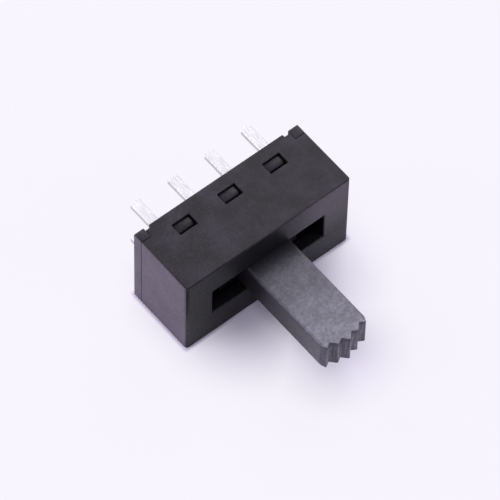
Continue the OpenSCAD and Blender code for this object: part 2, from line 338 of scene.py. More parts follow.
def moulded_black_with_painted_sheen(name, colour, painted_sheen, body):
    """Glass-filled PBT moulded in a spark-eroded cavity: a dry skin with a fine, even mottle, over wider
    clouds where the glass fibres lie nearer to the surface. It is nearly black, so most of what the eye
    gets from it is the room's soft reflection. The two ends of the body, given by its box, carry a thin
    violet painted sheen, a painted reflection of the light there. So, more faintly, does the right of its
    front, most of all at the top, and the two broad faces keep a mottled trace of it."""
    made, tree, mm = new_material(name)
    low, high = np.array(body) / MM
    middle_z, half_z = (low[2] + high[2]) / 2, (high[2] - low[2]) / 2
    # All lengths here are in millimetres. The painted sheen wraps this far round the radii of the edges, and
    # fades out over the second length
    wrap, fade = 0.03, 0.02
    # The front's painted sheen grows between these places to the right and upwards. It is this strong at the
    # top right, and this share of that is left below
    from_x, to_x, from_z, to_z = 1.0, 3.6, 1.6, 4.2
    front_most, front_below = 0.58, 0.1
    # Depths below the broad faces at which their trace of painted sheen is full and gone, and its strength
    trace_full, trace_gone, trace_most = 0.4, 0.7, 0.12

    # Spark-eroded grain. The real pits are about 0.03 mm wide; these are 0.12 mm, so that they show
    grain = add(tree, "ShaderNodeTexNoise", {"Vector": mm, "Scale": 8.0, "Detail": 3.0, "Roughness": 0.7})
    # Clouds of fibre under the skin, 1 to 2 mm across
    cloud = add(tree, "ShaderNodeTexNoise", {"Vector": mm, "Scale": 0.7, "Detail": 3.0, "Roughness": 0.6})
    # Pale flecks where the skin is thin, 0.3 mm across
    fleck = add(tree, "ShaderNodeTexNoise", {"Vector": mm, "Scale": 3.2, "Detail": 2.0, "Distortion": 0.6})
    pits = add(
        tree,
        "ShaderNodeMapRange",
        {"Value": grain.outputs[0], "From Min": NOISE_LOW, "From Max": NOISE_HIGH},
    )
    clouds = add(tree, "ShaderNodeMapRange", {"Value": cloud.outputs[0], "From Min": 0.38, "From Max": 0.64})
    flecks = add(tree, "ShaderNodeMapRange", {"Value": fleck.outputs[0], "From Min": 0.52, "From Max": 0.72})

    # The black itself: darker pits, bluish clouds and pale flecks
    skin = rgba(colour, 0.5)
    bluish = (colour[0] * 0.9, colour[1] * 1.1, colour[2] * 1.5, 1.0)
    for share, over in ((pits, rgba(colour, 1.5)), (clouds, bluish), (flecks, rgba(colour, 2.0))):
        mixed = {"Factor": share.outputs[0], "A": skin, "B": over}
        skin = add(tree, "ShaderNodeMix", mixed, data_type="RGBA").outputs["Result"]

    # Painted sheen on the ends
    place = add(tree, "ShaderNodeSeparateXYZ", {"Vector": mm}).outputs
    aside = add(tree, "ShaderNodeMath", {0: place["X"]}, operation="ABSOLUTE")
    ends = add(
        tree,
        "ShaderNodeMapRange",
        {"Value": aside.outputs[0], "From Min": high[0] - wrap - fade, "From Max": high[0] - wrap},
    )

    # Painted sheen on the front, to the right and upwards
    front = add(
        tree,
        "ShaderNodeMapRange",
        {"Value": place["Y"], "From Min": low[1] + wrap + fade, "From Max": low[1] + wrap},
    )
    rightward = add(
        tree,
        "ShaderNodeMapRange",
        {"Value": place["X"], "From Min": from_x, "From Max": to_x, "To Max": front_most},
        interpolation_type="SMOOTHSTEP",
    )
    upward = add(
        tree,
        "ShaderNodeMapRange",
        {"Value": place["Z"], "From Min": from_z, "From Max": to_z, "To Min": front_below},
        interpolation_type="SMOOTHSTEP",
    )
    for part in (rightward, upward):
        front = add(tree, "ShaderNodeMath", {0: front.outputs[0], 1: part.outputs[0]}, operation="MULTIPLY")

    # A trace of painted sheen on the broad faces. The latch hooks stand back in their windows and still show
    # it; the slot's walls don't
    facing = add(tree, "ShaderNodeNewGeometry")
    normal = add(tree, "ShaderNodeSeparateXYZ", {"Vector": facing.outputs["Normal"]})
    broad = add(tree, "ShaderNodeMath", {0: normal.outputs["Z"]}, operation="ABSOLUTE")
    mottle = add(tree, "ShaderNodeMath", {0: pits.outputs[0], 1: clouds.outputs[0]}, operation="ADD")
    off_middle = add(tree, "ShaderNodeMath", {0: place["Z"], 1: middle_z}, operation="SUBTRACT")
    off_middle = add(tree, "ShaderNodeMath", {0: off_middle.outputs[0]}, operation="ABSOLUTE")
    near_face = add(
        tree,
        "ShaderNodeMapRange",
        {
            "Value": off_middle.outputs[0],
            "From Min": half_z - trace_gone,
            "From Max": half_z - trace_full,
            "To Max": trace_most,
        },
    )
    for part in (mottle, near_face):
        broad = add(tree, "ShaderNodeMath", {0: broad.outputs[0], 1: part.outputs[0]}, operation="MULTIPLY")

    # The painted sheen is where any of the three is, and thinner between the clouds
    sheen_clouds = add(
        tree,
        "ShaderNodeMapRange",
        {"Value": cloud.outputs[0], "From Min": NOISE_LOW, "From Max": NOISE_HIGH, "To Min": 0.8},
    )
    sheen_share = ends
    for part, operation in ((front, "MAXIMUM"), (broad, "MAXIMUM"), (sheen_clouds, "MULTIPLY")):
        both = {0: sheen_share.outputs[0], 1: part.outputs[0]}
        sheen_share = add(tree, "ShaderNodeMath", both, operation=operation)
    tone = add(
        tree,
        "ShaderNodeMix",
        {"Factor": sheen_share.outputs[0], "A": skin, "B": rgba(painted_sheen)},
        data_type="RGBA",
    )
    gloss = add(
        tree,
        "ShaderNodeMapRange",
        {
            "Value": grain.outputs[0],
            "From Min": NOISE_LOW,
            "From Max": NOISE_HIGH,
            "To Min": 0.36,
            "To Max": 0.52,
        },
    )
    bump = add(tree, "ShaderNodeBump", {"Height": grain.outputs[0], "Strength": 0.5, "Distance": 0.012 * MM})
    shader = add(
        tree,
        "ShaderNodeBsdfPrincipled",
        {
            "Base Color": tone.outputs["Result"],
            "Roughness": gloss.outputs[0],
            "IOR": 1.5,
            # More than half of what a polished skin would reflect goes astray in the grain
            "Specular IOR Level": 0.22,
            "Normal": bump.outputs[0],
        },
    )
    return close_material(made, tree, shader)


def acetal_worn_and_painted_lit(name, colour, pale_wear_and_light, face_y, tip_y, flank_x, middle_z):
    """Dark grey acetal, moulded smooth and then handled: its broad faces carry a pale, mottled wear, scaled
    by a painted light that grows from the body at face_y to the tip at tip_y, and nicked along the edges at
    flank_x. Its flanks stay darker with painted shade. The ridges are streaked, and darker with painted
    shade away from middle_z, the height of the knob's middle."""
    made, tree, mm = new_material(name)
    # Shares of the knob's reach: the root in painted shade where the cover guards it, and where the flanks'
    # painted light grows
    root_shade_to, flank_from, flank_to = 0.22, 0.12, 0.88
    # Strength of the wear and painted light on the broad faces at the root and at the tip, and on the flanks
    # at the tip: the rise from root to tip is painted light
    root_wear_and_shade, tip_wear_and_light, flank_painted_light = 0.335, 0.865, 0.4
    # Millimetres from the knob's middle between which painted shade takes over on the ridges, and what it
    # leaves of their wear
    unshaded_to, shaded_from, unshaded_ridge, shaded_ridge = 0.45, 0.85, 0.88, 0.4
    # The nicks start and are full this many millimetres from the flanks, and add this much wear
    nicks_from, nicks_full, nick_wear = 0.45, 0.05, 0.35

    # Scuffs that lie every way, 0.1 to 0.3 mm across
    scuff = add(
        tree,
        "ShaderNodeTexNoise",
        {"Vector": mm, "Scale": 5.0, "Detail": 4.0, "Roughness": 0.72, "Distortion": 0.5},
    )
    # Blotches of handling, about 1 mm across
    blotch = add(tree, "ShaderNodeTexNoise", {"Vector": mm, "Scale": 1.1, "Detail": 3.0, "Roughness": 0.6})
    # Bright nicks along the edges, 0.3 mm across
    nick = add(tree, "ShaderNodeTexNoise", {"Vector": mm, "Scale": 3.5, "Detail": 3.0, "Roughness": 0.65})

    # Painted shade at the root, where the cover shades it, and from there on a painted light that grows
    # towards the tip
    place = add(tree, "ShaderNodeSeparateXYZ", {"Vector": mm}).outputs
    reach = add(
        tree,
        "ShaderNodeMapRange",
        {"Value": place["Y"], "From Min": face_y / MM, "From Max": tip_y / MM},
    ).outputs[0]
    painted_root_shade = add(
        tree,
        "ShaderNodeMapRange",
        {"Value": reach, "From Max": root_shade_to},
        interpolation_type="SMOOTHSTEP",
    )
    painted_light_ramp = add(tree, "ShaderNodeMapRange", {"Value": reach, "To Min": root_wear_and_shade, "To Max": tip_wear_and_light})
    painted_light_along = add(tree, "ShaderNodeMath", {0: painted_root_shade.outputs[0], 1: painted_light_ramp.outputs[0]}, operation="MULTIPLY")

    # Painted light on the flanks only towards the tip; nearer the root they keep painted shade
    facing = add(tree, "ShaderNodeNewGeometry")
    normal = add(tree, "ShaderNodeVectorMath", {0: facing.outputs["Normal"]}, operation="ABSOLUTE")
    normal = add(tree, "ShaderNodeSeparateXYZ", {"Vector": normal.outputs[0]}).outputs
    flank = add(
        tree,
        "ShaderNodeMapRange",
        {"Value": reach, "From Min": flank_from, "From Max": flank_to, "To Max": flank_painted_light},
    )
    flank = add(tree, "ShaderNodeMath", {0: normal["X"], 1: flank.outputs[0]}, operation="MULTIPLY")

    # Upright streaks on the ridges, 0.1 to 0.2 mm wide, and painted shade where they meet the broad faces
    drawn = add(tree, "ShaderNodeMapping", {"Vector": mm, "Scale": (8.0, 8.0, 0.9)})
    streak = add(tree, "ShaderNodeTexNoise", {"Vector": drawn.outputs[0], "Scale": 1.0, "Detail": 2.0})
    ridges = add(
        tree,
        "ShaderNodeMapRange",
        {"Value": streak.outputs[0], "From Min": 0.36, "From Max": 0.64, "To Min": 0.4, "To Max": 1.1},
    )
    off_middle = add(tree, "ShaderNodeMath", {0: place["Z"], 1: middle_z / MM}, operation="SUBTRACT")
    off_middle = add(tree, "ShaderNodeMath", {0: off_middle.outputs[0]}, operation="ABSOLUTE")
    # Painted shade on the ridges, darker away from the knob's middle
    ridge_painted_shade = add(
        tree,
        "ShaderNodeMapRange",
        {
            "Value": off_middle.outputs[0],
            "From Min": unshaded_to,
            "From Max": shaded_from,
            "To Min": unshaded_ridge,
            "To Max": shaded_ridge,
        },
        interpolation_type="SMOOTHSTEP",
    )
    for part in (ridge_painted_shade.outputs[0], normal["Y"]):
        ridges = add(tree, "ShaderNodeMath", {0: ridges.outputs[0], 1: part}, operation="MULTIPLY")

    # The broad faces get the most, partly wear and partly painted light: each point takes the share of the
    # side that it faces
    sides = add(tree, "ShaderNodeMath", {0: flank.outputs[0], 1: ridges.outputs[0]}, operation="MAXIMUM")
    sides = add(tree, "ShaderNodeMath", {0: normal["Z"], 1: sides.outputs[0]}, operation="MAXIMUM")

    # Nicks along the edges, over the mottle of scuffs and blotches
    aside = add(tree, "ShaderNodeMath", {0: place["X"]}, operation="ABSOLUTE")
    edge = add(
        tree,
        "ShaderNodeMapRange",
        {
            "Value": aside.outputs[0],
            "From Min": flank_x / MM - nicks_from,
            "From Max": flank_x / MM - nicks_full,
        },
    )
    nicks = add(tree, "ShaderNodeMapRange", {"Value": nick.outputs[0], "From Min": 0.48, "From Max": 0.66})
    nicked = add(tree, "ShaderNodeMath", {0: edge.outputs[0], 1: nicks.outputs[0]}, operation="MULTIPLY")
    mottle = add(
        tree,
        "ShaderNodeMapRange",
        {"Value": scuff.outputs[0], "From Min": 0.36, "From Max": 0.66, "To Min": 0.55},
    )
    patches = add(
        tree,
        "ShaderNodeMapRange",
        {"Value": blotch.outputs[0], "From Min": NOISE_LOW, "From Max": 0.62, "To Min": 0.78},
    )
    wear = add(tree, "ShaderNodeMath", {0: mottle.outputs[0], 1: patches.outputs[0]}, operation="MULTIPLY")
    wear = add(
        tree,
        "ShaderNodeMath",
        {0: nicked.outputs[0], 1: nick_wear, 2: wear.outputs[0]},
        operation="MULTIPLY_ADD",
        use_clamp=True,
    )
    # Painted light and shade: the mottled wear is scaled by the painted light along the knob and by the side
    # each point faces
    for part in (painted_light_along, sides):
        wear = add(tree, "ShaderNodeMath", {0: wear.outputs[0], 1: part.outputs[0]}, operation="MULTIPLY")

    speckled = add(
        tree,
        "ShaderNodeMix",
        {"Factor": mottle.outputs[0], "A": rgba(colour, 0.75), "B": rgba(colour, 1.2)},
        data_type="RGBA",
    )
    tone = add(
        tree,
        "ShaderNodeMix",
        {"Factor": wear.outputs[0], "A": speckled.outputs["Result"], "B": rgba(pale_wear_and_light)},
        data_type="RGBA",
    )
    bump = add(tree, "ShaderNodeBump", {"Height": scuff.outputs[0], "Strength": 0.4, "Distance": 0.012 * MM})
    shader = add(
        tree,
        "ShaderNodeBsdfPrincipled",
        {
            "Base Color": tone.outputs["Result"],
            "Roughness": 0.44,
            "IOR": 1.5,
            # Some of what a polished skin would reflect goes astray in the scuffs
            "Specular IOR Level": 0.3,
            "Normal": bump.outputs[0],
        },
    )
    return close_material(made, tree, shader)


def bright_metal(name, colour, roughness, mark_mm, mark_axis):
    """A plated or drawn metal: a bright skin whose gloss wavers along the marks of the tool that made it.
    The marks are mark_mm wide and run along mark_axis."""
    made, tree, mm = new_material(name)
    # A mark's width as a share of its length
    slender = 0.08
    # Shares of the colour in a stain and beside it, and of the roughness where a mark shines and is dull
    stained, clean, shiny, dull = 0.88, 1.06, 0.75, 1.3

    across = 1 / mark_mm
    stretch = [across * (slender if i == mark_axis else 1.0) for i in range(3)]
    marked = add(tree, "ShaderNodeMapping", {"Vector": mm, "Scale": stretch})
    mark = add(tree, "ShaderNodeTexNoise", {"Vector": marked.outputs[0], "Scale": 1.0, "Detail": 3.0})
    # Faint stains, 0.5 mm across
    stain = add(tree, "ShaderNodeTexNoise", {"Vector": mm, "Scale": 2.0, "Detail": 4.0})
    tone = add(
        tree,
        "ShaderNodeMix",
        {"Factor": stain.outputs[0], "A": rgba(colour, stained), "B": rgba(colour, clean)},
        data_type="RGBA",
    )
    gloss = add(
        tree,
        "ShaderNodeMapRange",
        {
            "Value": mark.outputs[0],
            "From Min": 0.3,
            "From Max": 0.7,
            "To Min": roughness * shiny,
            "To Max": roughness * dull,
        },
    )
    bump = add(tree, "ShaderNodeBump", {"Height": mark.outputs[0], "Strength": 0.25, "Distance": 0.005 * MM})
    shader = add(
        tree,
        "ShaderNodeBsdfPrincipled",
        {
            "Base Color": tone.outputs["Result"],
            "Metallic": 1.0,
            "Roughness": gloss.outputs[0],
            "Normal": bump.outputs[0],
        },
    )
    return close_material(made, tree, shader)


# ---- meshes ----


def keep_flat(piece):
    """The big faces keep their own flat normals, and the radii turn between them."""
    flat = piece.modifiers.new("flat faces", "WEIGHTED_NORMAL")
    flat.weight = BIG_FACES


def surface_of(node):
    """The surface of a CAD node, as a tree that finds its point nearest to another point."""
    mesh = frame["nodes"][node].data
    return BVHTree.FromPolygons([v.co for v in mesh.vertices], [p.vertices for p in mesh.polygons])


def crest_share(edge, width):
    """The share of the radius that fits an edge: where it ends on a flat nearly as narrow as the radius,
    as on the knob's ridges, it takes less than half of that flat, so that two radii never overlap."""
    along = (edge.verts[1].co - edge.verts[0].co).normalized()
    room = [
        side.calc_length()
        for vert in edge.verts
        for side in vert.link_edges
        if side is not edge
        and any(face in side.link_faces for face in edge.link_faces)
        and abs((side.verts[1].co - side.verts[0].co).normalized().dot(along)) < ACROSS
    ]
    return min(1.0, CREST_FILL * min(room) / width) if room else 1.0


def soften(node, width, material, meets=(), crests=False):
    """A copy of a CAD solid, merged and with its flat faces whole again, whose sharp edges get a small
    radius. Creases between two facets of a rounding are round already and stay as they are. An edge
    within a hair of one of the nodes that it meets keeps half of the radius, so a seam reads as a fine
    line, and with crests on, narrow flats bound it too. The copy stands for the solid."""
    piece = bpy.data.objects.new(node + "_moulding", frame["nodes"][node].data.copy())
    bpy.context.scene.collection.objects.link(piece)
    neighbours = [surface_of(other) for other in meets]
    mesh = bmesh.new()
    mesh.from_mesh(piece.data)
    bmesh.ops.remove_doubles(mesh, verts=mesh.verts, dist=WELD)
    bmesh.ops.dissolve_degenerate(mesh, dist=WELD, edges=mesh.edges)
    bmesh.ops.dissolve_limit(mesh, angle_limit=FLAT, verts=mesh.verts, edges=mesh.edges)
    weight = mesh.edges.layers.float.new("bevel_weight_edge")
    for edge in mesh.edges:
        if len(edge.link_faces) != 2 or edge.calc_face_angle() <= SHARP:
            continue
        # A face's mean width is twice its area over the length of its outline
        if all(2 * face.calc_area() / face.calc_perimeter() < FACET for face in edge.link_faces):
            continue
        middle = (edge.verts[0].co + edge.verts[1].co) / 2
        met = any(tree.find_nearest(middle, HAIR)[0] for tree in neighbours)
        share = SEAM_SHARE if met else 1.0
        edge[weight] = min(share, crest_share(edge, width)) if crests else share
    mesh.to_mesh(piece.data)
    mesh.free()
    piece.data.shade_smooth()
    radius = piece.modifiers.new("edge", "BEVEL")
    radius.width = width
    radius.segments = RADIUS_STEPS
    radius.limit_method = "WEIGHT"
    radius.use_clamp_overlap = False
    keep_flat(piece)
    piece.data.materials.clear()
    piece.data.materials.append(material)
    stand_for(piece, node)


def stand_for(piece, node):
    """The piece stands for a CAD node: the node is hidden, and the piece takes its place and its body."""
    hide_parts(node)
    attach(piece, frame["nodes"][node]["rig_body"])


def grid_object(name, points, material):
    """A closed surface from a grid of points, one row per ring: the rings are joined round and along, and
    the first and last ring are closed with a fan of their own middle."""
    rings, around = points.shape[:2]
    ends = np.stack([points[0].mean(0), points[-1].mean(0)])
    places = np.concatenate([points.reshape(-1, 3), ends])
    k = np.arange(around)
    following = (k + 1) % around
    # The place of each ring's first point, and of the two middles after the last ring
    start = (np.arange(rings - 1) * around)[:, None]
    last_start = (rings - 1) * around
    first_middle = rings * around
    corners = [start + k, start + following, start + around + following, start + around + k]
    quads = np.stack(corners, axis=-1).reshape(-1, 4)
    first = np.stack([np.full(around, first_middle), following, k], axis=-1)
    last = np.stack([np.full(around, first_middle + 1), last_start + k, last_start + following], axis=-1)
    mesh = bpy.data.meshes.new(name)
    mesh.from_pydata(places.tolist(), [], quads.tolist() + first.tolist() + last.tolist())
    mesh.shade_smooth()
    mesh.materials.append(material)
    piece = bpy.data.objects.new(name, mesh)
    bpy.context.scene.collection.objects.link(piece)
    return piece


def outline_of(node):
    """The stations of a flat CAD strip along Y: each has its level, and its least and greatest X there. A
    shoulder, where the width jumps, gives two stations at one level. With them come the strip's lowest
    and highest Z."""
    mesh = frame["nodes"][node].data
    co = np.zeros(len(mesh.vertices) * 3)
    mesh.vertices.foreach_get("co", co)
    # Rounded to the nanometre, so that corners at one level count as one level
    co = np.unique(np.round(co.reshape(-1, 3), 9), axis=0)
    stations = []
    for y in np.unique(co[:, 1]):
        across = np.unique(co[co[:, 1] == y, 0])
        stations.append((y, across[0], across[-1]))
        # A shoulder has two corners on each side
        if len(across) == 4:
            stations.append((y, across[1], across[2]))
    return np.array(stations), co[:, 2].min(), co[:, 2].max()


def stamped_strip(name, node, die_roll, burr_edge, material):
    """A stamped terminal. Every ring is a rounded rectangle that fills the CAD outline at its level: the
    upper corners have the large radius of the die roll and the lower ones the small radius of the burr
    side. Rings close in by a quarter circle at the tip and at the tail's end, so all edges are soft."""
    stations, low, high = outline_of(node)
    if abs(stations[-1][2] - stations[-1][1]) > abs(stations[0][2] - stations[0][1]):
        raise RuntimeError(f"{node} has no tail narrower than its blade")
    quarter = np.linspace(0, math.pi / 2, ARC_POINTS)
    # Corner angles from the left side over the top to the right side and back below
    angle = np.concatenate([math.pi - quarter, math.pi / 2 - quarter, -quarter, -math.pi / 2 - quarter])
    side_x = np.repeat([-1, 1, 1, -1], ARC_POINTS)
    side_z = np.repeat([1, 1, -1, -1], ARC_POINTS)
    radius = np.where(side_z > 0, die_roll, burr_edge)
    # At each end the rings draw in towards the middle of the strip as they near its last level
    short = burr_edge * (1 - np.sin(quarter))
    drawn_in = burr_edge * (1 - np.cos(quarter))
    y = np.concatenate([stations[0, 0] + short[::-1], stations[1:-1, 0], stations[-1, 0] - short])
    inset = np.concatenate([drawn_in[::-1], np.zeros(len(stations) - 2), drawn_in])
    pick = np.clip(np.arange(len(y)) - ARC_POINTS + 1, 0, len(stations) - 1)
    left, right = stations[pick, 1] + inset, stations[pick, 2] - inset
    bottom, top = low + inset, high - inset
    edge_x = np.where(side_x > 0, right[:, None], left[:, None])
    edge_z = np.where(side_z > 0, top[:, None], bottom[:, None])
    points = np.stack(
        [
            edge_x - side_x * radius + radius * np.cos(angle),
            np.broadcast_to(y[:, None], edge_x.shape),
            edge_z - side_z * radius + radius * np.sin(angle),
        ],
        axis=-1,
    )
    return grid_object(name, points, material)


def coiled_spring(name, node, wire, open_turns, material):
    """The detent spring: a circle of the wire's radius carried along a helix about the bore's axis. The
    height follows the turns, with a pitch that eases from closed to open and back, and the wire's ends
    round off to a point."""
    low, high = (np.array(corner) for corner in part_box(node))
    centre = (low + high) / 2
    coil = (high[0] - low[0]) / 2 - wire / 2
    turns = open_turns + 2
    t = np.linspace(0, turns, turns * TURN_POINTS + 1)
    # Every turn takes the pitch of a closed one. The rest of the travel is shared out where the pitch is
    # open, as the running sum of a smooth step up at one end and down at the other
    share = np.clip(np.minimum(t - CLOSED_TURNS, turns - CLOSED_TURNS - t) / OPENING_TURNS, 0, 1)
    opening = share * share * (3 - 2 * share)
    open_part = np.concatenate([[0], np.cumsum((opening[1:] + opening[:-1]) / 2)])
    travel = (high[1] - low[1]) - wire
    closed = wire * CLOSED_PITCH
    height = low[1] + wire / 2 + closed * t + (travel - closed * turns) * open_part / open_part[-1]
    a = t * 2 * math.pi
    path = np.stack([centre[0] + coil * np.cos(a), height, centre[2] + coil * np.sin(a)], axis=-1)
    outward = np.stack([np.cos(a), np.zeros_like(a), np.sin(a)], axis=-1)
    tangent = np.gradient(path, axis=0)
    tangent /= np.linalg.norm(tangent, axis=1)[:, None]
    across = np.cross(tangent, outward)
    around = np.linspace(0, 2 * math.pi, WIRE_POINTS, endpoint=False)
    # Within half a wire of each end the radius closes in as a quarter circle
    reach = np.minimum(t, turns - t) * 2 * math.pi * coil
    to_tip = np.clip(1 - reach / (wire / 2), 0, 1)
    radius = wire / 2 * np.sqrt(np.clip(1 - to_tip**2, WIRE_TIP**2, 1))
    points = path[:, None] + radius[:, None, None] * (
        np.cos(around)[None, :, None] * outward[:, None] + np.sin(around)[None, :, None] * across[:, None]
    )
    return grid_object(name, points, material)


# ---- the pieces ----


def colours():
    """The colours of the finishes, as the panel shows them."""
    return bpy.context.scene.switch_colours


def sizes():
    """The sizes of the details, as the panel shows them."""
    return bpy.context.scene.switch_sizes


class SWITCH_OT_cover(bpy.types.Operator):
    """Gives the cover its moulded edges and its black grain"""

    bl_idname = "switch.cover"
    bl_label = "Cover"

    def execute(self, context):
        black = moulded_black_with_painted_sheen("moulded black PBT with painted sheen", colours().cover, colours().painted_sheen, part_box("housing"))
        soften("housing", sizes().mould_edge, black, meets=("base",))
        return {"FINISHED"}


class SWITCH_OT_base(bpy.types.Operator):
    """Gives the base and its latch hooks their moulded edges and their black grain"""

    bl_idname = "switch.base"
    bl_label = "Base"

    def execute(self, context):
        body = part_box("housing")
        black = moulded_black_with_painted_sheen("moulded black PBT with painted sheen of the base", colours().base, colours().painted_sheen, body)
        soften("base", sizes().mould_edge, black, meets=("housing",))
        return {"FINISHED"}


class SWITCH_OT_slider(bpy.types.Operator):
    """Gives the knob and its carriage their soft edges and their dark grey, with wear and painted light and
    shade
    """

    bl_idname = "switch.slider"
    bl_label = "Slider"

    def execute(self, context):
        low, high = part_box("housing")
        material = acetal_worn_and_painted_lit(
            "grey acetal, worn and with painted light",
            colours().knob,
            colours().pale_wear_and_light,
            face_y=low[1],
            tip_y=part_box("slider")[0][1],
            flank_x=sizes().knob_half,
            middle_z=(low[2] + high[2]) / 2,
        )
        soften("slider", sizes().mould_edge, material, crests=True)
        return {"FINISHED"}


class SWITCH_OT_terminals(bpy.types.Operator):
    """Stamps the eight terminals in tinned brass"""

    bl_idname = "switch.terminals"
    bl_label = "Terminals"

    def execute(self, context):
        # Matt tin over stamped brass: a pale, milky metal with faint marks along the strip
        tin = bright_metal("tinned brass strip", colours().tin, 0.61, 0.05, 1)
        for node in sorted(n for n in frame["nodes"] if "terminal" in n):
            piece = stamped_strip(node + "_blade", node, sizes().die_roll, sizes().burr_edge, tin)
            keep_flat(piece)
            stand_for(piece, node)
        return {"FINISHED"}


class SWITCH_OT_contacts(bpy.types.Operator):
    """Gives the two sliding contacts the edges and colour of rolled bronze"""

    bl_idname = "switch.contacts"
    bl_label = "Sliding contacts"

    def execute(self, context):
        # Phosphor bronze, rolled and bent: warm and bright, with rolling marks along the strip
        bronze = bright_metal("rolled phosphor bronze", colours().bronze, 0.3, 0.04, 1)
        for node in ("upper_contact", "lower_contact"):
            soften(node, sizes().strip_edge, bronze)
        return {"FINISHED"}


class SWITCH_OT_detent(bpy.types.Operator):
    """Coils the detent spring and polishes the ball"""

    bl_idname = "switch.detent"
    bl_label = "Detent spring and ball"

    def execute(self, context):
        # Drawn music wire: grey and satin, with die marks along the wire's turns
        drawn = bright_metal("drawn spring wire", colours().steel, 0.32, 0.03, 0)
        coil = coiled_spring("detent_spring_coil", "detent_spring", sizes().wire, sizes().open_turns, drawn)
        stand_for(coil, "detent_spring")
        # Ground and lapped bearing ball: close to a mirror
        lapped = bright_metal("lapped bearing steel", colours().steel, 0.12, 0.05, 2)
        frame["nodes"]["detent_ball"].material_slots[0].material = lapped
        return {"FINISHED"}


# ---- the stage ----

# Each softbox: azimuth and elevation of its middle in degrees, side in metres, brightness of its face
SOFTBOXES = {
    "back": (-180.0, 25.0, 0.13, 2.23),
    "left": (-120.0, 25.0, 0.13, 1.67),
    "overhead": (-60.0, 70.0, 0.13, 0.88),
    "front": (30.0, 25.0, 0.13, 1.36),
    "back right": (120.0, 45.0, 0.13, 1.69),
}
BOX_DISTANCE = 0.25
# Strength of the room's light from all sides, and what the room shows at the horizon and overhead
AMBIENT = 0.1
HORIZON = 0.95
OVERHEAD = 0.4
# Half of the sheet's side, and how far it lies under the switch so that their faces don't coincide
SHEET_HALF = 0.6
SHEET_DROP = 0.01 * MM
# Away from the switch the sheet shows as an evenly lit background, and near it as it is lit. Its shade is
# deepest over this rectangle, given by two corners in millimetres: it lies under the front of the body, away
# from the strong lamp at the back. The share of background grows from there, up to the most at the reach
SHADE_POOL = ((-1.5, -2.2, 0.0), (1.6, -0.4, 0.0))
GLOW_REACH = 6.2
GLOW_SHARE = 0.93
# The knob hangs above the sheet. Its shade is a line under its length, a little to the right, and counts as
# if it were further off by the lift
KNOB_POOL = ((0.6, -7.2, 0.0), (0.6, -2.3, 0.0))
KNOB_LIFT = 1.5
# Right beside the body its contact shadow always shows
CONTACT_REACH = 0.23
# A long lens, from the front left and well above: sensor and focal length in millimetres, the bearing and
# the roll in degrees, and its place to the right, upwards and backwards of the origin in metres
SENSOR_WIDTH = 36.0
FOCAL_LENGTH = 394.6
CAMERA_BEARING = (-40.5823, 57.3863)
CAMERA_ROLL = -1.54616
CAMERA_PLACE = (0.000469, 0.000849, 0.29163)


def bearing(azimuth, elevation):
    """The unit vector to a lamp or camera: azimuth 0 stands in front, at -Y, and grows towards +X."""
    a, e = math.radians(azimuth), math.radians(elevation)
    return Vector((math.sin(a) * math.cos(e), -math.cos(a) * math.cos(e), math.sin(e)))


def softbox(name, azimuth, elevation, side, brightness):
    """A square lamp that looks at the part. The radiance of its face is pi times the brightness, and its
    power is that radiance times its area times pi."""
    lamp = bpy.data.lights.new(name, "AREA")
    lamp.shape = "SQUARE"
    lamp.size = side
    lamp.energy = brightness * math.pi * side * side * math.pi
    stand = bpy.data.objects.new(name, lamp)
    back = bearing(azimuth, elevation)
    stand.location = back * BOX_DISTANCE
    stand.rotation_euler = (-back).to_track_quat("-Z", "Y").to_euler()
    bpy.context.scene.collection.objects.link(stand)


def background_rays(tree):
    """1 for rays that should see the background as it looks: those of the camera, and of gloss and glass."""
    path = add(tree, "ShaderNodeLightPath").outputs
    seen = path["Is Camera Ray"]
    for ray in ("Is Glossy Ray", "Is Transmission Ray"):
        seen = add(tree, "ShaderNodeMath", {0: seen, 1: path[ray]}, operation="MAXIMUM").outputs[0]
    return seen


def footprint_distance(tree, mm, low, high):
    """Distance on the sheet, in millimetres, from a rectangle given by its two corners: the length of
    what is left of the way from its middle, on each axis, beyond half of its side."""
    middle = (low + high) / 2
    half = (high - low) / 2
    # Only the two ways along the sheet count: a half side of 1 upwards is more than the sheet's own level
    steps = (
        ("SUBTRACT", (middle[0], middle[1], 0.0)),
        ("ABSOLUTE", (0.0, 0.0, 0.0)),
        ("SUBTRACT", (half[0], half[1], 1.0)),
        ("MAXIMUM", (0.0, 0.0, 0.0)),
    )
    way = mm
    for operation, by in steps:
        way = add(tree, "ShaderNodeVectorMath", {0: way, 1: by}, operation=operation).outputs[0]
    return add(tree, "ShaderNodeVectorMath", {0: way}, operation="LENGTH").outputs["Value"]


